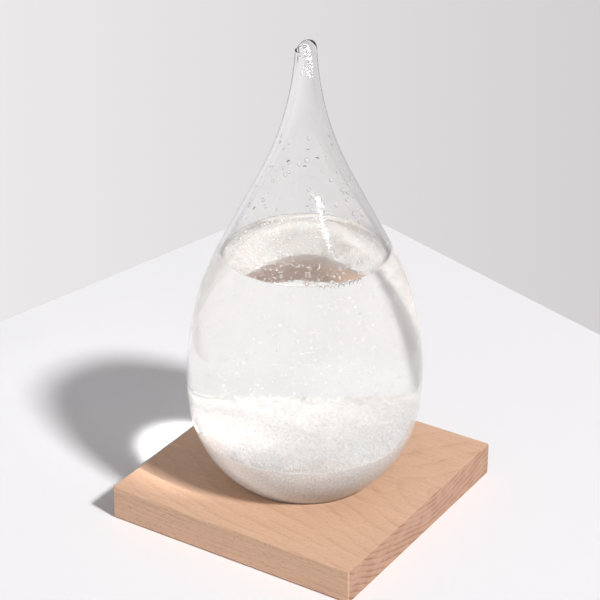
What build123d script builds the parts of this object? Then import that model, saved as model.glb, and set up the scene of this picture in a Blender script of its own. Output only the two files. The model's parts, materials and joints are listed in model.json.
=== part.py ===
"""Teardrop storm glass: a sealed blown drop of storm-glass solution, loose in a square wooden base.

Frame: origin at the bottom centre of the base, +Z up, -Y the long-grain front face, +X the
end-grain face. All sizes are in millimetres.
"""
import os
from math import asin, atan2, cos, degrees, radians, sin, tan

from build123d import *

# Wooden base
base_side = 135.0
base_height = 17.5
corner_round = 1.2
top_round = 0.6
bottom_round = 1.5
seat_rim_chamfer = 0.5

# Blown drop, outer surface: a round belly, a longer flank arc, a straight cone, then the neck's curve
belly_radius = 56.5
belly_depth = 12.5
flank_radius = 146.0
flank_start = -5.6
cone_slope = 27.2
neck_curve_radius = 151.0
neck_radius = 5.0
neck_end_slope = 3.5
wall = 1.8
seat_gap = 0.3

# Melted-off tip: a short stub, cut at a slant through its middle and rounded
tip_length = 4.1
tip_slant = 28.0
tip_round = 2.0
tip_turn = 32.5
bore_end_slope = 5.0

# Filling, heights above the top of the base
liquid_height = 117.5
meniscus_height = 1.4
meniscus_width = 2.6
bed_edge_height = 29.5
bed_crown_height = 1.8

# Fern-like crystals on the bed
fern_count = 22
fern_low_height = 6.0
fern_high_height = 12.5
fern_spread_radius = 40.0
fern_stem_width = 0.9
fern_thickness = 0.5
fern_barbs = 4
fern_barb_angle = 58.0
fern_barb_share = 0.5
fern_lean = 14.0
fern_root_depth = 1.5

# Clump of dried crystals in the bore of the neck
grain_count = 9
grain_width = 2.9
grain_clearance = 0.1
clump_height = 11.0

# Beads on the inner wall, heights above the solution's level
bead_count = 8
bead_low_height = 7.5
bead_high_height = 60.5
bead_small_radius = 1.2
bead_large_radius = 2.2
bead_contact_angle = 60.0
bead_clearance = 0.05

# Golden section, which spreads ferns, grains and beads evenly and gives them uneven sizes
golden_share = 0.618034
golden_turn = 360 * (1 - golden_share)

os.makedirs("parts", exist_ok=True)

belly_centre = base_height - belly_depth + belly_radius


def outline_points(inset):
    """Ends of the outline's arcs, as (radius, height) pairs, for a surface inset from the outer one."""
    belly = belly_radius - inset
    flank = flank_radius - inset
    low, high, end = radians(flank_start), radians(cone_slope), radians(neck_end_slope)
    belly_end = (belly * cos(low), belly_centre + belly * sin(low))
    flank_end = (
        belly_end[0] + flank * (cos(high) - cos(low)),
        belly_end[1] + flank * (sin(high) - sin(low)),
    )
    neck_curve = neck_curve_radius + inset
    cone_end_radius = neck_radius - inset + neck_curve * (cos(end) - cos(high))
    cone_length = (flank_end[0] - cone_end_radius) / sin(high)
    cone_end = (cone_end_radius, flank_end[1] + cone_length * cos(high))
    neck_centre = (cone_end[0] + neck_curve * cos(high), cone_end[1] + neck_curve * sin(high))
    return belly_end, flank_end, cone_end, neck_centre


def wall_radius(height, inset):
    """Radius of the inset surface at a height above the belly's end."""
    belly_end, flank_end, cone_end, neck_centre = outline_points(inset)
    if height <= flank_end[1]:
        flank = flank_radius - inset
        flank_centre = (
            belly_end[0] - flank * cos(radians(flank_start)),
            belly_end[1] - flank * sin(radians(flank_start)),
        )
        return flank_centre[0] + (flank**2 - (height - flank_centre[1]) ** 2) ** 0.5
    if height <= cone_end[1]:
        return flank_end[0] - (height - flank_end[1]) * tan(radians(cone_slope))
    neck_curve = neck_curve_radius + inset
    return neck_centre[0] - (neck_curve**2 - (height - neck_centre[1]) ** 2) ** 0.5


def draw_wall(inset, end_slope):
    """Add the outline from the lowest point up the neck to the BuildLine in use, and return its last arc."""
    cone_end = outline_points(inset)[2]
    belly = belly_radius - inset
    bottom = JernArc((0, belly_centre - belly), (1, 0), belly, 90 + flank_start)
    flank = JernArc(bottom @ 1, bottom % 1, flank_radius - inset, cone_slope - flank_start)
    cone = Line(flank @ 1, cone_end)
    return JernArc(cone @ 1, cone % 1, neck_curve_radius + inset, end_slope - cone_slope)


def bed_top(reach):
    """Height of the crystal bed's gently domed top at a distance from the axis."""
    return base_height + bed_edge_height + bed_crown_height - (bed_curve - (bed_curve**2 - reach**2) ** 0.5)


# The bed's dome falls by the crown between the axis and the glass
bed_rim = ((belly_radius - wall) ** 2 - (base_height + bed_edge_height - belly_centre) ** 2) ** 0.5
bed_curve = (bed_rim**2 + bed_crown_height**2) / (2 * bed_crown_height)
bed_reach = bed_rim + wall

# Height where the neck's curve ends and the stub of the tip begins
neck_centre_outer = outline_points(0)[3]
neck_top = neck_centre_outer[1] - neck_curve_radius * sin(radians(neck_end_slope))
tip_middle = neck_top + tip_length
stub_top = tip_middle + neck_radius

# Wooden base: eased board with a bowl that follows the belly of the drop
with BuildPart() as wooden_base:
    Box(base_side, base_side, base_height, align=(Align.CENTER, Align.CENTER, Align.MIN))
    fillet(wooden_base.edges().filter_by(Axis.Z), radius=corner_round)
    fillet(wooden_base.faces().sort_by(Axis.Z)[-1].edges(), radius=top_round)
    fillet(wooden_base.faces().sort_by(Axis.Z)[0].edges(), radius=bottom_round)
    with Locations((0, 0, belly_centre)):
        Sphere(belly_radius + seat_gap, mode=Mode.SUBTRACT)
    chamfer(wooden_base.edges().filter_by(GeomType.CIRCLE).sort_by(Edge.length)[-1], seat_rim_chamfer)
wooden_base.part.label = "wooden_base"
export_step(wooden_base.part, "parts/wooden_base.step")

# Hollow of the drop, with a round end to its bore
with BuildPart() as hollow:
    with BuildSketch(Plane.XZ):
        with BuildLine():
            neck = draw_wall(wall, bore_end_slope)
            dome_radius = (neck @ 1).X / cos(radians(bore_end_slope))
            dome = JernArc(neck @ 1, neck % 1, dome_radius, 90 - bore_end_slope)
            Line(dome @ 1, (0, belly_centre - belly_radius + wall))
        make_face()
    revolve(axis=Axis.Z)
bore_top = hollow.part.bounding_box().max.Z

# Blown drop: one wall from the belly to the melted tip, whose slanted end is rounded
with BuildPart() as glass_drop:
    with BuildSketch(Plane.XZ):
        with BuildLine():
            neck = draw_wall(0, neck_end_slope)
            stub = Line(neck @ 1, ((neck @ 1).X, stub_top))
            Polyline(stub @ 1, (0, stub_top), (0, belly_centre - belly_radius))
        make_face()
    revolve(axis=Axis.Z)
    slant = Plane.XY.offset(tip_middle).rotated((0, -tip_slant, 0)).rotated((0, 0, tip_turn))
    split(bisect_by=slant, keep=Keep.BOTTOM)
    fillet(glass_drop.faces().sort_by(Axis.Z)[-1].edges(), radius=tip_round)
    add(hollow.part, mode=Mode.SUBTRACT)
glass_drop.part.label = "glass_drop"
export_step(glass_drop.part, "parts/glass_drop.step")

# Space under the bed's dome, wider than the drop
with BuildPart() as bed_space:
    with BuildSketch(Plane.XZ):
        with BuildLine():
            top = JernArc((0, bed_top(0)), (1, 0), bed_curve, -degrees(asin(bed_reach / bed_curve)))
            Polyline(top @ 1, ((top @ 1).X, 0), (0, 0), top @ 0)
        make_face()
    revolve(axis=Axis.Z)

with BuildPart() as crystal_bed:
    add(hollow.part)
    add(bed_space.part, mode=Mode.INTERSECT)
crystal_bed.part.label = "crystal_bed"
export_step(crystal_bed.part, "parts/crystal_bed.step")


def fern_sketch(height):
    """Flat outline of one fern crystal: a tapering stem with pairs of barbs that shorten upward."""
    with BuildSketch() as outline:
        with BuildLine():
            foot = fern_stem_width / 2
            Polyline((-foot, -fern_root_depth), (foot, -fern_root_depth), (0, height), close=True)
        make_face()
        for step in range(1, fern_barbs + 1):
            share = step / (fern_barbs + 1)
            reach = fern_barb_share * height * (1 - share)
            for side in (-1, 1):
                root = height * share
                tip = (
                    side * reach * sin(radians(fern_barb_angle)),
                    root + reach * cos(radians(fern_barb_angle)),
                )
                with BuildLine():
                    Polyline((0, root - foot), tip, (0, root + foot), close=True)
                make_face()
    return outline.sketch


# Fern crystals spread over the bed like seeds in a sunflower, rooted on its dome
with BuildPart() as crystal_feathers:
    for index in range(fern_count):
        turn = index * golden_turn
        reach = fern_spread_radius * ((index + 0.5) / fern_count) ** 0.5
        height = fern_low_height + (fern_high_height - fern_low_height) * ((index * golden_share) % 1)
        lean = fern_lean * cos(radians(3 * turn))
        stand = Plane(origin=(reach * cos(radians(turn)), reach * sin(radians(turn)), bed_top(reach)))
        face_on = stand.rotated((90 + lean, 0, 0)).rotated((0, 0, 2 * turn))
        with BuildSketch(face_on):
            add(fern_sketch(height))
        extrude(amount=fern_thickness / 2, both=True)
    add(bed_space.part, mode=Mode.SUBTRACT)
crystal_feathers.part.label = "crystal_feathers"
export_step(crystal_feathers.part, "parts/crystal_feathers.step")

# Solution: fills the hollow from the bed to the level, and climbs a little at the glass
level = base_height + liquid_height
rim_radius = wall_radius(level + meniscus_height, wall)
with BuildPart() as storm_solution:
    add(hollow.part)
    with BuildSketch(Plane.XZ):
        with BuildLine():
            flat = Line((0, level), (rim_radius - meniscus_width, level))
            climb = TangentArc(flat @ 1, (rim_radius, level + meniscus_height), tangent=(1, 0))
            outside = rim_radius + belly_radius
            Polyline(climb @ 1, (outside, (climb @ 1).Y), (outside, stub_top), (0, stub_top), (0, level))
        make_face()
    revolve(axis=Axis.Z, mode=Mode.SUBTRACT)
    add(bed_space.part, mode=Mode.SUBTRACT)
    add(crystal_feathers.part, mode=Mode.SUBTRACT)
storm_solution.part.label = "storm_solution"
export_step(storm_solution.part, "parts/storm_solution.step")

# Dried clump: tilted grains stacked in the bore, each as near its wall as its corners allow
grain_reach = grain_width * 3**0.5 / 2
with BuildPart() as tip_crystals:
    for index in range(grain_count):
        turn = index * golden_turn
        height = bore_top - dome_radius - clump_height * index / grain_count
        offset = wall_radius(height + grain_reach, wall) - grain_reach - grain_clearance
        spot = (offset * cos(radians(turn)), offset * sin(radians(turn)), height)
        with Locations(Location(spot, (turn, 2 * turn, 3 * turn))):
            Box(grain_width, grain_width, grain_width)
tip_crystals.part.label = "tip_crystals"
export_step(tip_crystals.part, "parts/tip_crystals.step")

# Beads: flattened caps of liquid, whose flat backs lie against the inner wall
with BuildPart() as condensation_beads:
    for index in range(bead_count):
        turn = index * golden_turn
        share = (index + 0.5) / bead_count
        height = level + bead_low_height + (bead_high_height - bead_low_height) * share
        size = bead_small_radius + (bead_large_radius - bead_small_radius) * ((index * golden_share) % 1)
        back_radius = size * sin(radians(bead_contact_angle))
        reach = wall_radius(height, wall)
        slope = atan2(wall_radius(height - size, wall) - wall_radius(height + size, wall), 2 * size)
        inward = (-cos(slope) * cos(radians(turn)), -cos(slope) * sin(radians(turn)), -sin(slope))
        chord = reach - (reach**2 - back_radius**2) ** 0.5 + bead_clearance
        on_wall = Vector(reach * cos(radians(turn)), reach * sin(radians(turn)), height)
        spot = on_wall + chord * Vector(inward)
        with Locations(Plane(origin=spot, z_dir=inward)):
            Sphere(size, arc_size1=90 - bead_contact_angle, align=(Align.CENTER, Align.CENTER, Align.MIN))
condensation_beads.part.label = "condensation_beads"
export_step(condensation_beads.part, "parts/condensation_beads.step")
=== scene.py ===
import json
import math
import random
import bmesh
import bpy
from mathutils import Matrix, Vector, noise

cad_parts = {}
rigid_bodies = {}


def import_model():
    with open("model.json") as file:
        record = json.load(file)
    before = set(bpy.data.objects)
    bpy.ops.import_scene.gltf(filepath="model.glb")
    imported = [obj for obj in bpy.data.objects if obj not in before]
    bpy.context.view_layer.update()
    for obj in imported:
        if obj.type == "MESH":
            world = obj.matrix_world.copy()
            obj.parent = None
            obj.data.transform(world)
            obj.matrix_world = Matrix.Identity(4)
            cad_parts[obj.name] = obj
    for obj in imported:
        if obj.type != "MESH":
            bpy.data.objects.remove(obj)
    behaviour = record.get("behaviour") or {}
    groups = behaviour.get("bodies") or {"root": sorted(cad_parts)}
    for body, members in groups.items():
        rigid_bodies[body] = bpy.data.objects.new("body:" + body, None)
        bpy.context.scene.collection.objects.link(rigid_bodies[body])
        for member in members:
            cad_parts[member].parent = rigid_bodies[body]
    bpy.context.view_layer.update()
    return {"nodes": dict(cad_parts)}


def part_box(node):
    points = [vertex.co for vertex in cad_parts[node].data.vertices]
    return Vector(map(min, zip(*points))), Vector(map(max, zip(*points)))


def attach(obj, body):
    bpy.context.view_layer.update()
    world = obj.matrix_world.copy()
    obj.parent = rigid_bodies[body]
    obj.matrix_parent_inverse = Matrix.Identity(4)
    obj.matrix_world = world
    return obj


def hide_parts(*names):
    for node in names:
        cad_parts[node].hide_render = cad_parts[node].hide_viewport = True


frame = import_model()
mm = 0.001
board = frame["nodes"]["wooden_base"]
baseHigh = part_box("wooden_base")[1]
glassLow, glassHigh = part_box("glass_drop")
baseTop = baseHigh.z

# The drop's outer line, the same arcs as the glass in the frame
dropShape = {
    "bellyRadius": 56.5 * mm,
    "flankRadius": 146.0 * mm,
    "flankStart": math.radians(-5.6),
    "coneSlope": math.radians(27.2),
    "neckCurve": 151.0 * mm,
    "neckRadius": 5.0 * mm,
    "neckEnd": math.radians(3.5),
    "wall": 1.8 * mm,
    "bellySteps": 56,
    "flankSteps": 44,
    "coneSteps": 16,
    "neckSteps": 48,
    "segments": 192,
}
bellyCentre = glassLow.z + dropShape["bellyRadius"]


def arcPoints(centreR, centreZ, radius, start, stop, count):
    return [
        (centreR + radius * math.cos(start + (stop - start) * i / count),
         centreZ + radius * math.sin(start + (stop - start) * i / count))
        for i in range(count + 1)
    ]


# Outline of the drop moved inward by inset, from the axis at the bottom to the end of the neck
def dropOutline(inset, endSlope):
    s = dropShape
    low, high, steps = s["flankStart"], s["coneSlope"], s["coneSteps"]
    belly = s["bellyRadius"] - inset
    flank = s["flankRadius"] - inset
    neck = s["neckCurve"] + inset
    flankR = belly * math.cos(low) - flank * math.cos(low)
    flankZ = bellyCentre + belly * math.sin(low) - flank * math.sin(low)
    neckR = s["neckRadius"] + s["neckCurve"] * math.cos(s["neckEnd"])
    coneTopR = neckR - neck * math.cos(high)
    coneBottomR = flankR + flank * math.cos(high)
    coneBottomZ = flankZ + flank * math.sin(high)
    coneLength = (coneBottomR - coneTopR) / math.sin(high)
    neckZ = coneBottomZ + coneLength * math.cos(high) + neck * math.sin(high)
    points = arcPoints(0, bellyCentre, belly, -math.pi / 2, low, s["bellySteps"])
    points += arcPoints(flankR, flankZ, flank, low, high, s["flankSteps"])[1:]
    points += [
        (coneBottomR + (coneTopR - coneBottomR) * i / steps,
         coneBottomZ + coneLength * math.cos(high) * i / steps)
        for i in range(1, steps + 1)
    ]
    points += arcPoints(
        neckR, neckZ, neck, math.pi + high, math.pi + endSlope, s["neckSteps"])[1:]
    return points


# Radius of an outline at a height, for a bead, a rim or a crystal that sits on the wall
def radiusAt(outline, height):
    for (r0, z0), (r1, z1) in zip(outline, outline[1:]):
        if z0 <= height <= z1 and z1 > z0:
            return r0 + (r1 - r0) * (height - z0) / (z1 - z0)
    return outline[-1][0]


def newObject(name, data):
    made = bpy.data.objects.new(name, data)
    bpy.context.collection.objects.link(made)
    return made


def newPiece(name, bm, smooth=True):
    mesh = bpy.data.meshes.new(name)
    bm.normal_update()
    bm.to_mesh(mesh)
    bm.free()
    for p in mesh.polygons:
        p.use_smooth = smooth
    return newObject(name, mesh)


# A closed solid of revolution from an outline that starts and ends on the axis
def revolve(name, outline, segments, bend=None):
    bm = bmesh.new()
    rings = []
    for r, z in outline:
        if r < 1e-7:
            rings.append([bm.verts.new((0, 0, z))])
        else:
            rings.append([
                bm.verts.new((r * math.cos(a), r * math.sin(a), z))
                for a in (2 * math.pi * i / segments for i in range(segments))
            ])
    for low, high in zip(rings, rings[1:]):
        for i in range(segments):
            j = (i + 1) % segments
            if len(low) == 1:
                bm.faces.new((low[0], high[j], high[i]))
            elif len(high) == 1:
                bm.faces.new((low[i], low[j], high[0]))
            else:
                bm.faces.new((low[i], low[j], high[j], high[i]))
    if bend:
        for v in bm.verts:
            v.co = bend(v.co)
    bmesh.ops.recalc_face_normals(bm, faces=bm.faces)
    return newPiece(name, bm)


def joinPieces(first, *others):
    bpy.ops.object.select_all(action="DESELECT")
    for one in (first, *others):
        one.select_set(True)
    bpy.context.view_layer.objects.active = first
    bpy.ops.object.join()
    return first


def newMaterial(name):
    mat = bpy.data.materials.new(name)
    mat.use_nodes = True
    return mat, mat.node_tree, mat.node_tree.nodes["Principled BSDF"]


def setInputs(node, **values):
    for key, value in values.items():
        node.inputs[key.replace("_", " ")].default_value = value


def addNode(tree, kind, **settings):
    node = tree.nodes.new(kind)
    for key, value in settings.items():
        setattr(node, key, value)
    return node


def addMath(tree, operation, first, second=0):
    node = addNode(tree, "ShaderNodeMath", operation=operation)
    for i, value in enumerate((first, second)):
        if isinstance(value, (int, float)):
            node.inputs[i].default_value = value
        else:
            tree.links.new(value, node.inputs[i])
    return node.outputs[0]


# Mixes two colours, each of them a fixed colour or the output of another node
def addMix(tree, share, first, second, blend="MIX"):
    node = addNode(tree, "ShaderNodeMix", data_type="RGBA", blend_type=blend)
    for label, value in (("Factor", share), ("A", first), ("B", second)):
        if isinstance(value, bpy.types.NodeSocket):
            tree.links.new(value, node.inputs[label])
        else:
            node.inputs[label].default_value = (*value, 1) if isinstance(value, tuple) else value
    return node.outputs["Result"]


# Noise in object space, with a size in millimetres along each axis
def addNoise(tree, sizes, detail=3.0, roughness=0.55):
    place = addNode(tree, "ShaderNodeTexCoord")
    mapping = addNode(tree, "ShaderNodeMapping")
    mapping.inputs["Scale"].default_value = [1 / (size * mm) for size in sizes]
    grain = addNode(tree, "ShaderNodeTexNoise")
    setInputs(grain, Scale=1.0, Detail=detail, Roughness=roughness)
    tree.links.new(place.outputs["Object"], mapping.inputs["Vector"])
    tree.links.new(mapping.outputs["Vector"], grain.inputs["Vector"])
    return grain.outputs["Fac"]


def addRamp(tree, source, stops):
    ramp = addNode(tree, "ShaderNodeValToRGB")
    marks = ramp.color_ramp.elements
    while len(marks) < len(stops):
        marks.new(0.5)
    for mark, (place, colour) in zip(marks, stops):
        mark.position = place
        mark.color = (*colour, 1) if isinstance(colour, tuple) else (colour, colour, colour, 1)
    tree.links.new(source, ramp.inputs["Fac"])
    return ramp.outputs["Color"]


# Turns the span from low to high into one from first to last
def addRange(tree, source, low, high, first=0.0, last=1.0, smooth=True):
    kind = "SMOOTHSTEP" if smooth else "LINEAR"
    node = addNode(tree, "ShaderNodeMapRange", interpolation_type=kind)
    setInputs(node, From_Min=low, From_Max=high, To_Min=first, To_Max=last)
    tree.links.new(source, node.inputs["Value"])
    return node.outputs["Result"]


def addBump(tree, shader, height, strength, distance):
    bump = addNode(tree, "ShaderNodeBump")
    setInputs(bump, Strength=strength, Distance=distance)
    tree.links.new(height, bump.inputs["Height"])
    tree.links.new(bump.outputs["Normal"], shader.inputs["Normal"])


# Blown glass with a faint ripple, storm-glass solution and dew; ripple sizes and depth in mm
clearLooks = {
    "blownGlass": {
        "tint": (1, 1, 1), "rough": 0.0, "bends": 1.47,
        "ripple": (30, 30, 70), "strength": 0.02, "depth": 0.5,
    },
    "clearSolution": {"tint": (1, 0.99, 0.975), "rough": 0.08, "bends": 1.36},
    "clearDew": {
        "tint": (1, 1, 1), "rough": 0.0, "bends": 1.34,
        "ripple": (1.5, 1.5, 1.5), "strength": 0.1, "depth": 0.1,
    },
}


def clearMaterial(name):
    look = clearLooks[name]
    mat, tree, shader = newMaterial(name)
    setInputs(shader, Base_Color=(*look["tint"], 1), Roughness=look["rough"], IOR=look["bends"])
    setInputs(shader, Transmission_Weight=1.0)
    if "ripple" in look:
        ripple = addNoise(tree, look["ripple"], 1.0)
        addBump(tree, shader, ripple, look["strength"], look["depth"] * mm)
    return mat


# Sizes in mm
crystal = {
    "glow": 0.6,  # share of the light that passes under the surface
    "glowReach": 4.0,
    "glowTint": (1.0, 0.85, 0.78),
    "grain": 1.0,
    "glint": 0.5,
    "relief": 0.7,
    "reliefDepth": 0.4,
    "reliefStrength": 0.5,
}


# White sugary crystals: bright grains, faint grey hollows, small glints
def crystalMaterial(name, hollow, bright):
    c = crystal
    mat, tree, shader = newMaterial(name)
    setInputs(shader, Specular_IOR_Level=0.6)
    setInputs(shader, Subsurface_Weight=c["glow"], Subsurface_Scale=c["glowReach"] * mm)
    setInputs(shader, Subsurface_Radius=c["glowTint"])
    grains = addNoise(tree, [c["grain"]] * 3, 4.0, 0.7)
    colour = addRamp(tree, grains, [(0.34, hollow), (0.62, bright)])
    tree.links.new(colour, shader.inputs["Base Color"])
    gloss = addRamp(tree, addNoise(tree, [c["glint"]] * 3, 2.0), [(0.35, 0.12), (0.6, 0.55)])
    tree.links.new(gloss, shader.inputs["Roughness"])
    relief = addNoise(tree, [c["relief"]] * 3, 3.0, 0.7)
    addBump(tree, shader, relief, c["reliefStrength"], c["reliefDepth"] * mm)
    return mat


# Lengths and noise sizes in mm, sizes along x, y and z
beech = {
    "pithY": 16.0,  # heart of the log, from the board's middle
    "pithZ": 180.0,  # and above its underside
    "driftY": 0.10,  # how far the heart wanders along the board
    "driftZ": -0.16,
    "ringWidth": 2.9,
    "wave": 9.0,
    "waveSizes": (110, 45, 45),
    "fray": 1.3,
    "fraySizes": (300, 12, 12),
    "ringStops": [(0.0, 0.15), (0.55, 0.30), (0.86, 1.0), (0.97, 0.12)],
    "patchSizes": (70, 9, 9),
    "patchStops": [(0.38, 0.25), (0.68, 1.0)],
    "endReach": 0.3,
    "endDepth": 1.15,  # how much stronger the rings show on the end grain
    "sideDepth": 0.45,
    "streakSizes": (26, 0.7, 0.7),
    "streakStops": [(0.3, (0.86, 0.85, 0.84)), (0.7, (1.06, 1.06, 1.07))],
    "fleckSizes": (2.2, 0.33, 0.33),
    "fleckStops": [(0.60, 0.0), (0.72, 0.6)],
    "glossStops": [(0.0, 0.46), (1.0, 0.62)],
    "poreSizes": (14, 0.4, 0.4),
    "fleckDepth": 0.6,
    "reliefStrength": 0.25,
    "reliefDepth": 0.12,
    "early": (0.74, 0.47, 0.315),
    "late": (0.50, 0.265, 0.155),
    "fleck": (0.36, 0.185, 0.105),
    "endShade": (0.66, 0.62, 0.62),
}


# Pale beech: growth rings round a heart above the board, long streaks and short dark flecks
def woodMaterial():
    w = beech
    mat, tree, shader = newMaterial("paleBeech")

    def work(operation, first, second=0):
        return addMath(tree, operation, first, second)

    place = addNode(tree, "ShaderNodeTexCoord")
    split = addNode(tree, "ShaderNodeSeparateXYZ")
    tree.links.new(place.outputs["Object"], split.inputs[0])
    x, y, z = split.outputs
    dy = work("SUBTRACT", y, work("ADD", work("MULTIPLY", x, w["driftY"]), w["pithY"] * mm))
    dz = work("SUBTRACT", z, work("ADD", work("MULTIPLY", x, w["driftZ"]), w["pithZ"] * mm))
    reach = work("SQRT", work("ADD", work("MULTIPLY", dy, dy), work("MULTIPLY", dz, dz)))
    wave = work("MULTIPLY", addNoise(tree, w["waveSizes"], 2.0), w["wave"] * mm)
    fray = work("MULTIPLY", addNoise(tree, w["fraySizes"], 1.0), w["fray"] * mm)
    rings = work("DIVIDE", work("ADD", work("ADD", reach, wave), fray), w["ringWidth"] * mm)
    band = addRamp(tree, work("FRACT", rings), w["ringStops"])
    strength = addRamp(tree, addNoise(tree, w["patchSizes"], 1.0), w["patchStops"])
    endGrain = work("GREATER_THAN", work("ABSOLUTE", x), baseHigh.x - w["endReach"] * mm)
    depth = work("ADD", work("MULTIPLY", endGrain, w["endDepth"]), w["sideDepth"])
    ringShare = work("MULTIPLY", work("MULTIPLY", band, strength), depth)
    streak = addRamp(tree, addNoise(tree, w["streakSizes"], 4.0, 0.65), w["streakStops"])
    flecks = addRamp(tree, addNoise(tree, w["fleckSizes"], 1.0), w["fleckStops"])
    colour = addMix(tree, ringShare, w["early"], w["late"])
    colour = addMix(tree, 1.0, colour, streak, "MULTIPLY")
    colour = addMix(tree, endGrain, colour, w["endShade"], "MULTIPLY")
    colour = addMix(tree, flecks, colour, w["fleck"])
    tree.links.new(colour, shader.inputs["Base Color"])
    gloss = addRamp(tree, ringShare, w["glossStops"])
    tree.links.new(gloss, shader.inputs["Roughness"])
    pores = addNoise(tree, w["poreSizes"], 3.0)
    relief = work("SUBTRACT", pores, work("MULTIPLY", flecks, w["fleckDepth"]))
    addBump(tree, shader, relief, w["reliefStrength"], w["reliefDepth"] * mm)
    return mat


# Starts a tree that sets copies of one piece on points and ends in a plain mesh
def growingTree(name, inputs):
    tree = bpy.data.node_groups.new(name, "GeometryNodeTree")
    face = tree.interface
    for label, kind in inputs:
        face.new_socket(name=label, in_out="INPUT", socket_type="NodeSocket" + kind)
    face.new_socket(name="Result", in_out="OUTPUT", socket_type="NodeSocketGeometry")
    given = addNode(tree, "NodeGroupInput")
    result = addNode(tree, "NodeGroupOutput")
    source = addNode(tree, "GeometryNodeObjectInfo", transform_space="ORIGINAL")
    placed = addNode(tree, "GeometryNodeInstanceOnPoints")
    solid = addNode(tree, "GeometryNodeRealizeInstances")
    finish = addNode(tree, "GeometryNodeSetMaterial")
    link = tree.links.new
    link(given.outputs["Piece"], source.inputs["Object"])
    link(source.outputs["Geometry"], placed.inputs["Instance"])
    link(placed.outputs["Instances"], solid.inputs["Geometry"])
    link(solid.outputs["Geometry"], finish.inputs["Geometry"])
    link(given.outputs["Finish"], finish.inputs["Material"])
    link(finish.outputs["Geometry"], result.inputs["Result"])
    return tree, given, placed


def enabledSockets(sockets, kind=None):
    return [one for one in sockets if one.enabled and (kind is None or one.type == kind)]


# Scatters one piece over a surface, each standing along the surface's normal
def scatterTree():
    tree, given, placed = growingTree("scatterOnSurface", (
        ("Surface", "Geometry"), ("Piece", "Object"), ("Density", "Float"), ("Seed", "Int"),
        ("Smallest", "Float"), ("Largest", "Float"), ("Lean", "Float"), ("Finish", "Material"),
    ))
    points = addNode(tree, "GeometryNodeDistributePointsOnFaces", distribute_method="RANDOM")
    size = addNode(tree, "FunctionNodeRandomValue", data_type="FLOAT")
    turnBy = addNode(tree, "FunctionNodeRandomValue", data_type="FLOAT_VECTOR")
    most = addNode(tree, "ShaderNodeCombineXYZ")
    least = addNode(tree, "ShaderNodeCombineXYZ")
    most.inputs["Z"].default_value = 2 * math.pi
    negative = addMath(tree, "MULTIPLY", given.outputs["Lean"], -1.0)
    turned = addNode(tree, "FunctionNodeRotateRotation", rotation_space="LOCAL")
    link = tree.links.new
    link(given.outputs["Surface"], points.inputs["Mesh"])
    link(given.outputs["Density"], points.inputs["Density"])
    for seeded in (points, turnBy, size):
        link(given.outputs["Seed"], seeded.inputs["Seed"])
    for axis in ("X", "Y"):
        link(given.outputs["Lean"], most.inputs[axis])
        link(negative, least.inputs[axis])
    link(least.outputs[0], turnBy.inputs["Min"])
    link(most.outputs[0], turnBy.inputs["Max"])
    link(points.outputs["Rotation"], turned.inputs["Rotation"])
    link(turnBy.outputs["Value"], turned.inputs["Rotate By"])
    smallest, largest = enabledSockets(size.inputs, "VALUE")[:2]
    link(given.outputs["Smallest"], smallest)
    link(given.outputs["Largest"], largest)
    link(points.outputs["Points"], placed.inputs["Points"])
    link(turned.outputs["Rotation"], placed.inputs["Rotation"])
    link(enabledSockets(size.outputs)[0], placed.inputs["Scale"])
    return tree


# Sets one piece on each point, turned to the point's aim and scaled to its size
def settleTree():
    tree, given, placed = growingTree("settleOnPoints", (
        ("Spots", "Geometry"), ("Piece", "Object"), ("Finish", "Material"),
    ))
    aim = addNode(tree, "GeometryNodeInputNamedAttribute", data_type="FLOAT_VECTOR")
    aim.inputs["Name"].default_value = "aim"
    size = addNode(tree, "GeometryNodeInputNamedAttribute", data_type="FLOAT")
    size.inputs["Name"].default_value = "size"
    turned = addNode(tree, "FunctionNodeAlignRotationToVector", axis="Z")
    link = tree.links.new
    link(given.outputs["Spots"], placed.inputs["Points"])
    link(enabledSockets(aim.outputs)[0], turned.inputs["Vector"])
    link(turned.outputs["Rotation"], placed.inputs["Rotation"])
    link(enabledSockets(size.outputs)[0], placed.inputs["Scale"])
    return tree


scatter = scatterTree()
settle = settleTree()


# Runs a tree over a source mesh and keeps the result as one plain mesh
def growPiece(name, source, tree, **values):
    modifier = source.modifiers.new("grow", "NODES")
    modifier.node_group = tree
    inputs = [item for item in tree.interface.items_tree if item.in_out == "INPUT"]
    names = {item.name: item.identifier for item in inputs}
    for label, value in values.items():
        modifier[names[label]] = value
    graph = bpy.context.evaluated_depsgraph_get()
    mesh = bpy.data.meshes.new_from_object(source.evaluated_get(graph))
    mesh.name = name
    print(name, len(mesh.vertices), "points")
    grown = newObject(name, mesh)
    source.modifiers.remove(modifier)
    bpy.data.objects.remove(source)
    return grown


# Points with an aim and a size, from (place, aim, size) triples
def newSpots(name, triples):
    mesh = bpy.data.meshes.new(name)
    mesh.from_pydata([tuple(place) for place, aim, size in triples], [], [])
    mesh.attributes.new("aim", "FLOAT_VECTOR", "POINT")
    mesh.attributes.new("size", "FLOAT", "POINT")
    for i, (place, aim, size) in enumerate(triples):
        mesh.attributes["aim"].data[i].vector = aim
        mesh.attributes["size"].data[i].value = size
    return newObject(name, mesh)


def settlePiece(name, triples, piece, look):
    return growPiece(name, newSpots(name + "Spots", triples), settle, Piece=piece, Finish=look)


def roundAxis(reach, turn, height):
    return reach * math.cos(turn), reach * math.sin(turn), height


def anyAim(rng):
    return rng.uniform(-1, 1), rng.uniform(-1, 1), rng.uniform(-1, 1)


# The melted-off tip, and the round end of the bore below it
tip = {
    "rise": 0.8 * mm,
    "slant": 1.3 * mm,
    "slantFrom": 0.35,
    "turn": math.radians(32.5),
    "round": 0.8,
    "shift": 1.0 * mm,
    "domeSteps": 24,
    "boreUp": 5.0 * mm,
    "boreDraw": 0.3 * mm,
    "boreSlope": math.radians(5),
    "boreSteps": 4,
    "boreEndSteps": 12,
}


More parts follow.
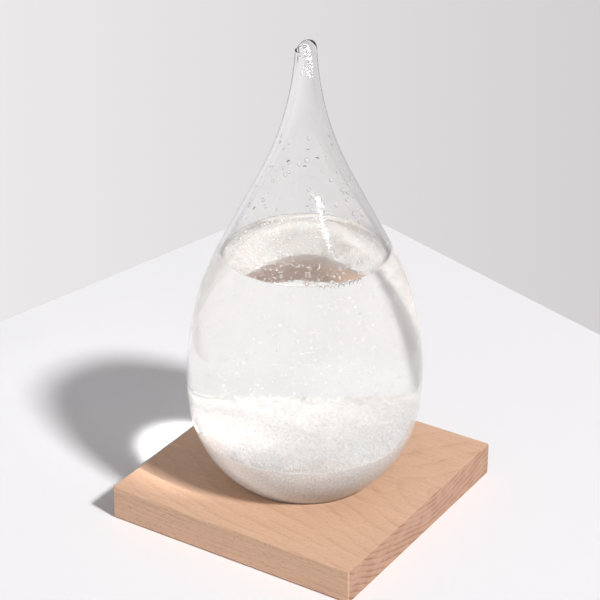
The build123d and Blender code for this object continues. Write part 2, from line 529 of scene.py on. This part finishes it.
# Glass drop: outer line with the rounded tip, inner line with the bore's round end
def buildGlass():
    s = dropShape
    outer = dropOutline(0, s["neckEnd"])
    neckR, neckTop = outer[-1]
    domeStart = neckTop + tip["rise"]
    capHeight = glassHigh.z - domeStart
    cap = [(neckR, neckTop + tip["rise"] * i / 3) for i in range(1, 4)]
    cap += [
        (neckR * math.cos(t) ** tip["round"], domeStart + capHeight * math.sin(t))
        for t in (math.pi / 2 * i / tip["domeSteps"] for i in range(1, tip["domeSteps"]))
    ]
    side = Vector((math.cos(tip["turn"]), math.sin(tip["turn"]), 0))

    # The dome leans over to one side, where the flame drew it off
    def slantTip(co):
        if co.z <= domeStart:
            return co
        share = (co.z - domeStart) / capHeight
        along = (co.x * side.x + co.y * side.y) / neckR
        sink = tip["slant"] * share * (1 - share) * 4 * max(0, tip["slantFrom"] - along)
        return Vector((co.x, co.y, co.z - sink)) + side * tip["shift"] * share ** 2

    shell = revolve("glassDrop", outer + cap + [(0, glassHigh.z)], s["segments"], slantTip)
    slope, steps = tip["boreSlope"], tip["boreSteps"]
    inner = dropOutline(s["wall"], slope)
    boreR, boreZ = inner[-1]
    inner += [
        (boreR - tip["boreDraw"] * i / steps, boreZ + tip["boreUp"] * i / steps)
        for i in range(1, steps + 1)
    ]
    boreR, boreZ = inner[-1]
    ball = boreR / math.cos(slope)
    centre = boreZ - ball * math.sin(slope)
    inner += arcPoints(0, centre, ball, slope, math.pi / 2, tip["boreEndSteps"])[1:-1]
    inner.append((0, boreZ + ball * (1 - math.sin(slope))))
    hollow = revolve("hollowCut", inner, s["segments"])
    hollow.data.flip_normals()
    joinPieces(shell, hollow)
    shell.data.materials.append(clearMaterial("blownGlass"))
    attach(shell, "drop")
    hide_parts("glass_drop")
    return inner


innerWall = buildGlass()
print("glass drop done")

# The liquid creeps up the wall by rise, over a width of reach
solution = {
    "intoGlass": 0.25 * mm,
    "levelUp": 117.5 * mm,
    "rise": 1.4 * mm,
    "reach": 2.6 * mm,
    "creepSteps": 14,
    "flatSteps": 24,
}
level = baseTop + solution["levelUp"]


def buildSolution():
    s = solution
    wet = dropOutline(dropShape["wall"] - s["intoGlass"], dropShape["neckEnd"])
    rimZ = level + s["rise"]
    rimR = radiusAt(wet, rimZ)
    side = [p for p in wet if p[1] < rimZ - 0.1 * mm]
    top = [(rimR, rimZ)]
    for t in (i / s["creepSteps"] for i in range(1, s["creepSteps"] + 1)):
        top.append((rimR - s["intoGlass"] - s["reach"] * t, level + s["rise"] * (1 - t) ** 2))
    flat = top[-1][0]
    top += [(flat * (1 - i / s["flatSteps"]), level) for i in range(1, s["flatSteps"] + 1)]
    liquid = revolve("stormSolution", side + top, dropShape["segments"])
    liquid.data.materials.append(clearMaterial("clearSolution"))
    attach(liquid, "drop")
    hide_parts("storm_solution")


buildSolution()
print("solution done")

crystalLook = crystalMaterial("whiteCrystal", (0.70, 0.67, 0.655), (0.96, 0.945, 0.93))
driedLook = crystalMaterial("driedCrystal", (0.58, 0.565, 0.54), (0.78, 0.76, 0.725))
dewLook = clearMaterial("clearDew")


# One needle of camphor: a thin five-sided spike, rooted just under the point it stands on
def needleSource():
    bm = bmesh.new()
    bmesh.ops.create_cone(
        bm, cap_ends=True, segments=5, radius1=0.13, radius2=0.02, depth=1.0,
        matrix=Matrix.Translation((0, 0, 0.42)),
    )
    return newPiece("needleSource", bm, smooth=False)


# One grain: a small uneven lump with flat faces
def grainSource():
    bm = bmesh.new()
    bmesh.ops.create_icosphere(bm, subdivisions=1, radius=0.5)
    for v in bm.verts:
        v.co *= 0.85 + 0.4 * noise.noise(v.co * 3.1)
        v.co.z *= 0.75
    return newPiece("grainSource", bm, smooth=False)


# Shares of the fern's own height
fern = {"stem": 0.09, "barb": 0.05, "pairs": 5, "spacing": 6.5, "longest": 0.42}


# One fern: a flat stem with pairs of barbs that shorten upward
def fernSource():
    bm = bmesh.new()

    def blade(root, end, width):
        along = (end - root).normalized()
        across = Vector((along.z, 0, -along.x)) * width / 2
        out = Vector((0, width * 0.3, 0))
        foot = [bm.verts.new(root + p) for p in (across, out, -across, -out)]
        top = bm.verts.new(end)
        bm.faces.new(foot)
        for i in range(4):
            bm.faces.new((foot[i], top, foot[(i + 1) % 4]))

    blade(Vector((0, 0, -0.1)), Vector((0, 0, 1)), fern["stem"])
    for step in range(1, fern["pairs"] + 1):
        share = step / fern["spacing"]
        for sign in (-1, 1):
            reach = fern["longest"] * (1 - share)
            root = Vector((0, 0, share))
            end = root + Vector((sign * reach * 0.85, 0, reach * 0.55))
            blade(root, end, fern["barb"])
    bmesh.ops.recalc_face_normals(bm, faces=bm.faces)
    return newPiece("fernSource", bm, smooth=False)


# One bead of dew: a cap that sits a little into the wall behind it
def beadSource():
    bm = bmesh.new()
    bmesh.ops.create_icosphere(bm, subdivisions=3, radius=1.0)
    for v in bm.verts:
        v.co.z *= 0.62 if v.co.z > 0 else 0.18
    return newPiece("beadSource", bm)


# The settled bed: level near the photograph's side, sloping down to the far wall
bed = {
    "edgeUp": 29.5 * mm,
    "crown": 1.8 * mm,
    "intoGlass": 0.12 * mm,
    "reach": 50 * mm,
    "farDrop": 5.0 * mm,
    "away": (-0.535, 0.845),
    "slopeFrom": 0.05,
    "wander": 0.9 * mm,
    "wanderSize": 7 * mm,
    "lump": 1.1 * mm,
    "lumpSize": 9 * mm,
    "foot": 12 * mm,
    "rings": 90,
    "segments": 240,
}
bedLine = dropOutline(dropShape["wall"] - bed["intoGlass"], dropShape["neckEnd"])
edgeZ = baseTop + bed["edgeUp"]
edgeR = radiusAt(bedLine, edgeZ)


# How far the settled bed lies below its near edge at a place
def sunkAt(x, y):
    share = (x * bed["away"][0] + y * bed["away"][1]) / bed["reach"]
    share = min(1, max(0, share + bed["slopeFrom"]))
    wander = 1 + noise.fractal(Vector((x, y, 0)) / bed["wanderSize"], 1.0, 2.0, 3)
    edge = min(1, math.hypot(x, y) / bed["reach"]) ** 3
    return bed["farDrop"] * share * share * (3 - 2 * share) + bed["wander"] * wander * edge


# Slopes the bed, gives its top lumps, and keeps its side on the wall
def heap(co):
    r = math.hypot(co.x, co.y)
    lower = sunkAt(co.x, co.y)
    if co.z < edgeZ - 0.05 * mm or r > edgeR - 0.4 * mm:
        z = co.z - lower * max(0, 1 - (edgeZ - co.z) / bed["foot"])
        draw = radiusAt(bedLine, z) / r if r > 10 * mm and z < co.z else 1
        return Vector((co.x * draw, co.y * draw, z))
    p = Vector((co.x, co.y, 0)) / bed["lumpSize"]
    lump = noise.fractal(p, 1.0, 2.1, 5) * bed["lump"] * min(1, (edgeR - r) / (4 * mm))
    draw = 1 - (1 - radiusAt(bedLine, edgeZ - lower) / edgeR) * (r / edgeR) ** 3
    return Vector((co.x * draw, co.y * draw, co.z + lump - lower))


# The open top of the pile, out to a share of the bed's radius
def bedSurface(pile, reach):
    bm = bmesh.new()
    bm.from_mesh(pile.data)
    lows = [
        v for v in bm.verts
        if v.co.z < edgeZ - sunkAt(v.co.x, v.co.y) + 0.02 * mm
        or math.hypot(v.co.x, v.co.y) > edgeR * reach
    ]
    bmesh.ops.delete(bm, geom=lows, context="VERTS")
    return newPiece("bedSurface", bm)


# Crystals on the bed: how many to a square metre, and how far out as a share of its radius
grainSpread = {
    "density": 620000.0, "seed": 3, "small": 0.35 * mm, "large": 0.95 * mm,
    "lean": 3.0, "reach": 0.985,
}
needleSpread = {
    "density": 19000.0, "seed": 5, "small": 1.4 * mm, "large": 4.2 * mm,
    "lean": 1.0, "reach": 0.95,
}
fernSpread = {
    "density": 4200.0, "seed": 11, "small": 2.8 * mm, "large": 7.5 * mm,
    "lean": 0.5, "reach": 0.93,
}


def spreadOnBed(name, pile, piece, spread):
    return growPiece(
        name, bedSurface(pile, spread["reach"]), scatter, Piece=piece,
        Density=spread["density"], Seed=spread["seed"], Smallest=spread["small"],
        Largest=spread["large"], Lean=spread["lean"], Finish=crystalLook,
    )


rim = {
    "seed": 17, "count": 760, "inner": 0.78, "outer": 0.97,
    "small": 1.4 * mm, "large": 5.4 * mm, "inward": 0.5, "wander": 0.6,
}


# Needles that lean inward along the rim of the bed, so its far edge reads soft
def rimSpots():
    rng = random.Random(rim["seed"])
    wide = radiusAt(innerWall, edgeZ)
    spots = []
    for i in range(rim["count"]):
        turn = rng.uniform(0, 2 * math.pi)
        share = rim["inner"] + (rim["outer"] - rim["inner"]) * rng.random() ** 0.6
        lower = sunkAt(wide * share * math.cos(turn), wide * share * math.sin(turn))
        reach = radiusAt(innerWall, edgeZ - lower) * share
        height = edgeZ - lower + bed["crown"] * (1 - share * share) - rng.uniform(0, 0.6) * mm
        aim = (
            -math.cos(turn) * rim["inward"] + rng.gauss(0, rim["wander"]),
            -math.sin(turn) * rim["inward"] + rng.gauss(0, rim["wander"]),
            rng.uniform(0.2, 1.0),
        )
        size = rng.uniform(rim["small"], rim["large"])
        spots.append((roundAxis(reach, turn, height), aim, size))
    return spots


# Draws every point back inside the wall, so no crystal pokes into the glass
def keepInside(piece):
    for v in piece.data.vertices:
        r = math.hypot(v.co.x, v.co.y)
        most = radiusAt(innerWall, v.co.z) + 0.1 * mm
        if r > most:
            v.co.x *= most / r
            v.co.y *= most / r


def buildBed(needle, grain, frond):
    rings = bed["rings"]
    side = [p for p in bedLine if p[1] < edgeZ - 0.1 * mm]
    top = [(edgeR, edgeZ)]
    top += [
        (edgeR * (1 - i / rings), edgeZ + bed["crown"] * (1 - (1 - i / rings) ** 2))
        for i in range(1, rings + 1)
    ]
    pile = revolve("crystalBed", side + top, bed["segments"], heap)
    pile.data.materials.append(crystalLook)
    grains = spreadOnBed("bedGrains", pile, grain, grainSpread)
    needles = spreadOnBed("bedNeedles", pile, needle, needleSpread)
    ferns = spreadOnBed("crystalFeathers", pile, frond, fernSpread)
    joinPieces(pile, grains)
    joinPieces(ferns, needles, settlePiece("rimNeedles", rimSpots(), needle, crystalLook))
    keepInside(pile)
    keepInside(ferns)
    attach(pile, "drop")
    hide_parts("crystal_bed")
    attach(ferns, "drop")
    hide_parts("crystal_feathers")


# Sizes in mm
flakes = {
    "seed": 21,
    "adrift": 1500,
    "adriftSizes": (0.3, 0.9),
    "settling": 2.2,  # the higher, the more of them stay near the bed
    "afloat": 420,
    "afloatSizes": (0.45, 0.95),
    "afloatReach": 37,
}


# Loose flakes that hang in the solution, more of them near the bed, and some on its surface
def buildFlakes(grain):
    rng = random.Random(flakes["seed"])
    spots = []
    for i in range(flakes["adrift"]):
        share = rng.random() ** flakes["settling"]
        height = edgeZ + 2 * mm + (level - edgeZ - 5 * mm) * share
        reach = (radiusAt(innerWall, height) - 2.5 * mm) * math.sqrt(rng.random())
        turn = rng.uniform(0, 2 * math.pi)
        aim = anyAim(rng)
        size = rng.uniform(*flakes["adriftSizes"]) * mm
        spots.append((roundAxis(reach, turn, height), aim, size))
    for i in range(flakes["afloat"]):
        reach = flakes["afloatReach"] * mm * math.sqrt(rng.random())
        turn = rng.uniform(0, 2 * math.pi)
        aim = anyAim(rng)
        size = rng.uniform(*flakes["afloatSizes"]) * mm
        spots.append((roundAxis(reach, turn, level + size * 0.05), aim, size))
    loose = settlePiece("looseFlakes", spots, grain, driedLook)
    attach(loose, "drop")


needleShape, grainShape, fernShape = needleSource(), grainSource(), fernSource()
buildBed(needleShape, grainShape, fernShape)
buildFlakes(grainShape)
print("crystal bed done")

clump = {
    "seed": 4, "top": 0.3 * mm, "length": 15.0 * mm, "grains": 190,
    "small": 0.6 * mm, "large": 1.6 * mm,
}


# Dried crystals packed in the bore of the neck, thinner toward their lower end
def buildClump(grain):
    rng = random.Random(clump["seed"])
    boreTop = innerWall[-1][1]
    spots = []
    for i in range(clump["grains"]):
        share = rng.random() ** 0.8
        height = boreTop - clump["top"] - clump["length"] * share
        size = rng.uniform(clump["small"], clump["large"]) * (1 - 0.4 * share)
        room = radiusAt(innerWall, height) - size * 0.62
        reach = max(0, room) * math.sqrt(rng.random()) * (1 if share < 0.75 else 0.9)
        turn = tip["turn"] + rng.gauss(0, 1.1 if share > 0.3 else 2.4)
        spots.append((roundAxis(reach, turn, height), anyAim(rng), size))
    grains = settlePiece("tipCrystals", spots, grain, driedLook)
    keepInside(grains)
    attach(grains, "drop")
    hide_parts("tip_crystals")


buildClump(grainShape)
print("dried clump done")

# Large beads on the inner wall: turn in degrees, height and radius in mm
beads = [
    (-49, 196.9, 1.1), (-55, 187.5, 1.1), (-87, 185.6, 0.9), (-97, 182.9, 0.8), (-85, 181.8, 0.8),
    (-90, 180.3, 1.0), (-132, 161.9, 1.2), (-112, 167.4, 1.0), (-53, 175.2, 0.9), (-48, 172.7, 1.2),
    (-42, 170.9, 1.6), (-38, 168.3, 1.3), (-50, 167.1, 1.0), (-36, 165.3, 1.3), (-19, 177.8, 0.9),
    (-2, 179.9, 0.9), (-6, 172.3, 0.9), (-4, 167.7, 1.0), (-3, 161.4, 1.0), (1, 157.2, 1.1),
    (-21, 167.4, 1.0), (-139, 146.3, 0.9), (-41, 163.0, 1.5), (-40, 159.6, 1.6), (-39, 156.3, 1.4),
]
dew = {
    "seed": 8, "count": 90, "low": 1.5 * mm, "high": 62 * mm,
    "small": 0.3 * mm, "large": 0.95 * mm, "nearTurn": -0.45, "nearSpread": 0.9,
}


# Beads of dew on the inner wall, every other small one gathered on the near side
def buildBeads(bead, rng):
    places = [(math.radians(turn), height * mm, size * mm) for turn, height, size in beads]
    for i in range(dew["count"]):
        if i % 2:
            turn = rng.gauss(dew["nearTurn"], dew["nearSpread"])
        else:
            turn = rng.uniform(-math.pi, math.pi)
        height = level + dew["low"] + (dew["high"] - dew["low"]) * rng.random() ** 1.7
        places.append((turn, height, rng.uniform(dew["small"], dew["large"])))
    spots = []
    for turn, height, size in places:
        reach = radiusAt(innerWall, height)
        size = min(size, reach * 0.35)
        low, high = radiusAt(innerWall, height - size), radiusAt(innerWall, height + size)
        slope = math.atan2(low - high, 2 * size)
        out = Vector((math.cos(turn), math.sin(turn), 0))
        aim = -out * math.cos(slope) - Vector((0, 0, math.sin(slope)))
        spots.append((out * reach + Vector((0, 0, height)) + aim * 0.02 * size, aim, size))
    drops = settlePiece("condensationBeads", spots, bead, dewLook)
    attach(drops, "drop")
    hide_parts("condensation_beads")


# Turns in degrees, sizes in mm
bubbles = {"count": 9, "start": -47, "step": 3.6, "stray": 0.5, "small": 0.8, "large": 1.35}


# A short row of bubbles caught at the near edge of the solution
def buildBubbles(bead, rng):
    spots = []
    for i in range(bubbles["count"]):
        stray = rng.uniform(-bubbles["stray"], bubbles["stray"])
        turn = math.radians(bubbles["start"] + bubbles["step"] * i + stray)
        size = rng.uniform(bubbles["small"], bubbles["large"]) * mm
        reach = radiusAt(innerWall, level) - 0.8 * mm - size * 0.62
        out = (math.cos(turn), math.sin(turn), 0)
        spots.append((roundAxis(reach, turn, level - 0.4 * size), out, size))
    foam = settlePiece("rimBubbles", spots, bead, dewLook)
    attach(foam, "drop")


# From the top end to the bottom end: turn in degrees, height and spread as they change
streak = {
    "turns": (-43, -37), "heights": (172.0, 149.0), "spreads": (2.3, 1.0),
    "grains": 230, "small": 0.4 * mm, "large": 1.25 * mm,
}


# White crystals down the near wall, where a trickle dried
def buildStreak(grain, rng):
    def between(ends, share):
        return ends[0] + (ends[1] - ends[0]) * share

    spots = []
    for i in range(streak["grains"]):
        share = rng.random()
        stray = rng.gauss(0, between(streak["spreads"], share))
        turn = math.radians(between(streak["turns"], share) + stray)
        height = between(streak["heights"], share) * mm
        size = rng.uniform(streak["small"], streak["large"]) * (1 - 0.4 * share)
        reach = radiusAt(innerWall, height) - size * 0.3
        spots.append((roundAxis(reach, turn, height), anyAim(rng), size))
    dried = settlePiece("wallCrystals", spots, grain, crystalLook)
    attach(dried, "drop")


beadShape = beadSource()
dewDraws = random.Random(dew["seed"])
buildBeads(beadShape, dewDraws)
buildBubbles(beadShape, dewDraws)
buildStreak(grainShape, dewDraws)
for shape in (needleShape, grainShape, fernShape, beadShape):
    bpy.data.objects.remove(shape)
print("beads done")

board.data.materials.clear()
board.data.materials.append(woodMaterial())
print("beech done")

# White table: its edges and its rounded far corner as the photograph shows them, in metres
table = {
    "corner": (-0.188, 0.3127),
    "leftEdge": (-0.2187, -0.9758),
    "rightEdge": (0.948, -0.3175),
    "edgeLength": 1.8,
    "roundStart": (-0.2056, 0.2346),
    "roundEnd": (-0.1254, 0.2917),
    "roundSteps": 16,
    # Colours at the left and the right of the table: painted shade, darker towards the right, in
    # place of the light falling off across it
    "left": (0.955, 0.95, 0.96),
    "right": (0.84, 0.83, 0.85),
    "paintedShadeFrom": 0.3,
    "paintedShadeRate": 1.6,
    "rough": 0.75,
}


def buildTable():
    corner, left, right, start, end = (
        Vector((*table[name], 0))
        for name in ("corner", "leftEdge", "rightEdge", "roundStart", "roundEnd")
    )
    left, right = left * table["edgeLength"], right * table["edgeLength"]
    bend = corner * 0.8 + (start + end) * 0.1
    edge = [
        start * (1 - t) ** 2 + bend * 2 * t * (1 - t) + end * t * t
        for t in (i / table["roundSteps"] for i in range(table["roundSteps"] + 1))
    ]
    outline = (*reversed(edge), corner + left, corner + left + right, corner + right)
    bm = bmesh.new()
    bm.faces.new([bm.verts.new(p) for p in outline])
    floor = newPiece("studioFloor", bm, smooth=False)
    mat, tree, shader = newMaterial("whiteTable")
    setInputs(shader, Roughness=table["rough"])
    place = addNode(tree, "ShaderNodeTexCoord")
    split = addNode(tree, "ShaderNodeSeparateXYZ")
    tree.links.new(place.outputs["Object"], split.inputs[0])
    # Painted shade: the table's colour darkens from left to right along x
    share = addMath(tree, "ADD", split.outputs["X"], table["paintedShadeFrom"])
    share = addMath(tree, "MULTIPLY", share, table["paintedShadeRate"])
    paintedShadeRamp = addRamp(tree, share, [(0.0, table["left"]), (1.0, table["right"])])
    tree.links.new(paintedShadeRamp, shader.inputs["Base Color"])
    floor.data.materials.append(mat)
    return floor


floor = buildTable()
print("table done")


def aimedLight(name, kind, power, place, aim):
    lamp = newObject(name, bpy.data.lights.new(name, kind))
    lamp.data.energy = power
    lamp.location = place
    lamp.rotation_mode = "QUATERNION"
    lamp.rotation_quaternion = (Vector(aim) - Vector(place)).to_track_quat("-Z", "Y")
    return lamp


def aimedDisk(name, power, size, place, aim):
    lamp = aimedLight(name, "AREA", power, place, aim)
    lamp.data.shape = "DISK"
    lamp.data.size = size
    return lamp


# What a light falls on and what shades it; a side left out means everything
def linkLight(lamp, takers=(), shades=()):
    for side, members in (("receiver", takers), ("blocker", shades)):
        if members:
            group = bpy.data.collections.new(f"{lamp.name} {side}s")
            for one in members:
                group.objects.link(one)
            setattr(lamp.light_linking, side + "_collection", group)


# Soft key from the right, and the same again for what lies inside the glass
keyLight = {
    "turn": 77.2, "height": 44.7, "distance": 4.0, "size": 0.48,
    "power": 160.0, "insidePower": 1.6, "aim": (0, 0, 0.05),
}

# What the room in front and the white table behind give back, through the clear walls
roomLights = {
    "roomInside": {
        "power": 11.0, "size": 0.7, "from": (-0.62, -1.3, 0.45), "colour": (1.0, 0.95, 0.91),
    },
    "tableInside": {
        "power": 5.0, "size": 0.8, "from": (-0.95, 0.8, 0.12), "colour": (1.0, 1.0, 1.0),
    },
}

# Light that the full drop gathers: on the table behind it, on the board and across the bed
gathered = {
    "gathered": {"power": 60.0, "wide": 5.8, "blend": 0.8, "soft": 0.004, "at": (-0.064, 0.003, 0)},
    "gatheredOnBoard": {"power": 15.0, "wide": 8.0, "blend": 1.0, "at": (-0.060, -0.024, baseTop)},
    "gatheredInside": {
        "power": 11.5, "wide": 6.2, "blend": 1.0, "soft": 0.01, "at": (-0.034, -0.027, edgeZ),
        "colour": (1.0, 0.965, 0.93),
    },
    "gatheredFar": {
        "power": 7.5, "wide": 6.8, "blend": 1.0, "soft": 0.01, "at": (-0.020, 0.033, edgeZ),
        "colour": (1.0, 0.965, 0.93),
    },
}
gatheredDistance = 0.6


def buildLights():
    pieces = bpy.data.objects
    liquid, pile, ferns = pieces["stormSolution"], pieces["crystalBed"], pieces["crystalFeathers"]
    loose, clumped, dried = pieces["looseFlakes"], pieces["tipCrystals"], pieces["wallCrystals"]
    wetted = [pile, ferns, loose, dried]
    turn, high = math.radians(keyLight["turn"]), math.radians(keyLight["height"])
    away = Vector((
        math.sin(turn) * math.cos(high), -math.cos(turn) * math.cos(high), math.sin(high)))
    aim = Vector(keyLight["aim"])
    place = aim + away * keyLight["distance"]
    key = aimedDisk("key", keyLight["power"], keyLight["size"], place, aim)
    linkLight(key, shades=[board, floor, liquid, *wetted, clumped])
    inside = aimedDisk("keyInside", keyLight["insidePower"], keyLight["size"], place, aim)
    linkLight(inside, wetted, [pile, ferns])
    for name, look in roomLights.items():
        fill = aimedDisk(name, look["power"], look["size"], aim + Vector(look["from"]), aim)
        fill.data.color = look["colour"]
        linkLight(fill, wetted, [pile])
    across = ([pile, ferns, loose], [pile, ferns])
    links = {
        "gathered": ([floor], [board]),
        "gatheredOnBoard": ([board], []),
        "gatheredInside": across,
        "gatheredFar": across,
    }
    for name, look in gathered.items():
        spot = Vector(look["at"])
        patch = aimedLight(name, "SPOT", look["power"], spot + away * gatheredDistance, spot)
        patch.data.spot_size = math.radians(look["wide"])
        patch.data.spot_blend = look["blend"]
        if "soft" in look:
            patch.data.shadow_soft_size = look["soft"]
        if "colour" in look:
            patch.data.color = look["colour"]
        linkLight(patch, *links[name])


buildLights()
print("lights done")

# The room round the table, by direction: across runs from the photograph's left to its right
room = {
    "across": (0.8437, 0.5369, 0),
    "spread": 0.14,
    "left": (0.83, 0.815, 0.825),
    "right": (0.66, 0.635, 0.645),
    "ceilingFrom": 0.3,
    "ceilingTo": 0.8,
    "ceiling": 0.65,
    "ambient": 0.525,
    "dark": 0.06,  # how bright the low left side of the room is, which gives the neck its line
    "darkFrom": -0.82,
    "darkTo": -0.5,
    "lowFrom": -0.38,
    "lowTo": -0.27,
}


def buildRoom():
    r = room
    world = bpy.data.worlds.new("studioWorld")
    bpy.context.scene.world = world
    world.use_nodes = True
    tree = world.node_tree
    back = tree.nodes["Background"]
    place = addNode(tree, "ShaderNodeTexCoord")
    across = addNode(tree, "ShaderNodeVectorMath", operation="DOT_PRODUCT")
    across.inputs[1].default_value = r["across"]
    tree.links.new(place.outputs["Generated"], across.inputs[0])
    split = addNode(tree, "ShaderNodeSeparateXYZ")
    tree.links.new(place.outputs["Generated"], split.inputs[0])
    side, up = across.outputs["Value"], split.outputs["Z"]
    spread = addRange(tree, side, -r["spread"], r["spread"], smooth=False)
    wall = addMix(tree, spread, r["left"], r["right"])
    ceiling = addRange(tree, up, r["ceilingFrom"], r["ceilingTo"], 1.0, r["ceiling"])
    tree.links.new(addMix(tree, 1.0, wall, ceiling, "MULTIPLY"), back.inputs["Color"])
    paths = addNode(tree, "ShaderNodeLightPath")
    diffuse = paths.outputs["Is Diffuse Ray"]
    strength = addRange(tree, diffuse, 0.0, 1.0, 1.0, r["ambient"], smooth=False)
    dark = addRange(tree, side, r["darkFrom"], r["darkTo"], r["dark"], 1.0)
    bright = addMath(tree, "MAXIMUM", dark, addRange(tree, up, r["lowFrom"], r["lowTo"]))
    seen = addMath(tree, "MAXIMUM", bright, paths.outputs["Is Camera Ray"])
    tree.links.new(addMath(tree, "MULTIPLY", strength, seen), back.inputs["Strength"])


buildRoom()
print("room done")

# Camera as measured from the edges of the base in the photograph
view = {
    "place": (0.4843, -0.7654, 0.5785),
    "turn": -57.53,
    "tilt": 27.39,
    "roll": 0.19,
    "lens": 129.0,
    "sensor": 36,
}


def buildCamera():
    cam = bpy.data.cameras.new("view")
    cam.lens = view["lens"]
    cam.sensor_width = view["sensor"]
    camera = newObject("view", cam)
    turn, tilt, roll = (math.radians(view[name]) for name in ("turn", "tilt", "roll"))
    flat = math.cos(tilt)
    back = Vector((flat * math.cos(turn), flat * math.sin(turn), math.sin(tilt)))
    right = Vector((-math.sin(turn), math.cos(turn), 0))
    up = back.cross(right)
    right, up = (
        right * math.cos(roll) + up * math.sin(roll),
        up * math.cos(roll) - right * math.sin(roll),
    )
    camera.rotation_mode = "QUATERNION"
    camera.rotation_quaternion = Matrix((right, up, back)).transposed().to_quaternion()
    camera.location = view["place"]
    bpy.context.scene.camera = camera


buildCamera()
scene = bpy.context.scene
scene.view_settings.view_transform = "Standard"
scene.cycles.max_bounces = 24
scene.cycles.transmission_bounces = 24
print("camera done")
